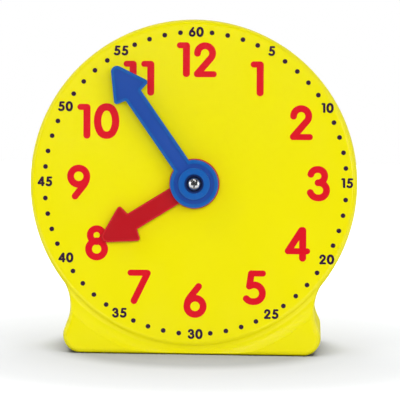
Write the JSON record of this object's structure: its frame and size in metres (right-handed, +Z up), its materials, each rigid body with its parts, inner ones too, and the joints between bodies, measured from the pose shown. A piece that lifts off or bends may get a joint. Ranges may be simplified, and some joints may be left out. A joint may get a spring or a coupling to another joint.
{
  "type": "geared teaching clock",
  "caption": "Free-standing geared teaching clock: round dial case on a wide foot, arrow minute and hour hands coupled by a hidden gear train.",
  "frame": {"origin": "middle of the base of the clock's box, on the surface it stands on", "axes": "+Z up, +X to the reader's right, +Y from the reader into the clock; the dial faces -Y and leans back 7 degrees"},
  "size_m": [0.1016, 0.026, 0.1032],
  "materials": {
    "case_plastic": "moulded, glossy",
    "minute_hand_plastic": "moulded, glossy",
    "hour_hand_plastic": "moulded, glossy",
    "gear_plastic": "natural acetal, as moulded",
    "plate_plastic": "moulded",
    "screw_steel": "zinc plated",
    "ground_steel": "ground",
    "spring_steel": "hardened strip",
    "dial_ink_dark": "pad-printed ink",
    "dial_ink_red": "pad-printed ink"
  },
  "bodies": {
    "case": {"front_case": "case_plastic", "rear_cover": "case_plastic", "cover_screws": "screw_steel", "gear_plate": "plate_plastic", "plate_screws": "screw_steel", "intermediate_axle": "ground_steel", "friction_spring": "spring_steel"},
    "minute_train": {"minute_arbor": "gear_plastic", "thrust_washer": "ground_steel", "minute_hand": "minute_hand_plastic", "hand_screw": "screw_steel"},
    "hour_train": {"hour_wheel": "gear_plastic", "hour_hand": "hour_hand_plastic"},
    "intermediate_train": {"intermediate_wheel": "gear_plastic"}
  },
  "joints": [
    {"name": "minute_turn", "type": "hinge", "parent": "case", "child": "minute_train", "pos_m": [0.0003, -0.007, 0.053], "axis": [0, 0.9925, -0.1219], "continuous": true},
    {"name": "intermediate_turn", "type": "hinge", "parent": "case", "child": "intermediate_train", "pos_m": [0.0003, -0.00992, 0.02918], "axis": [0, 0.9925, -0.1219], "continuous": true},
    {"name": "hour_turn", "type": "hinge", "parent": "case", "child": "hour_train", "pos_m": [0.0003, -0.007, 0.053], "axis": [0, 0.9925, -0.1219], "continuous": true}
  ],
  "couplings": [
    {"joint": "intermediate_turn", "follows": "minute_turn", "ratio": -0.33333},
    {"joint": "hour_turn", "follows": "minute_turn", "ratio": 0.083333}
  ]
}
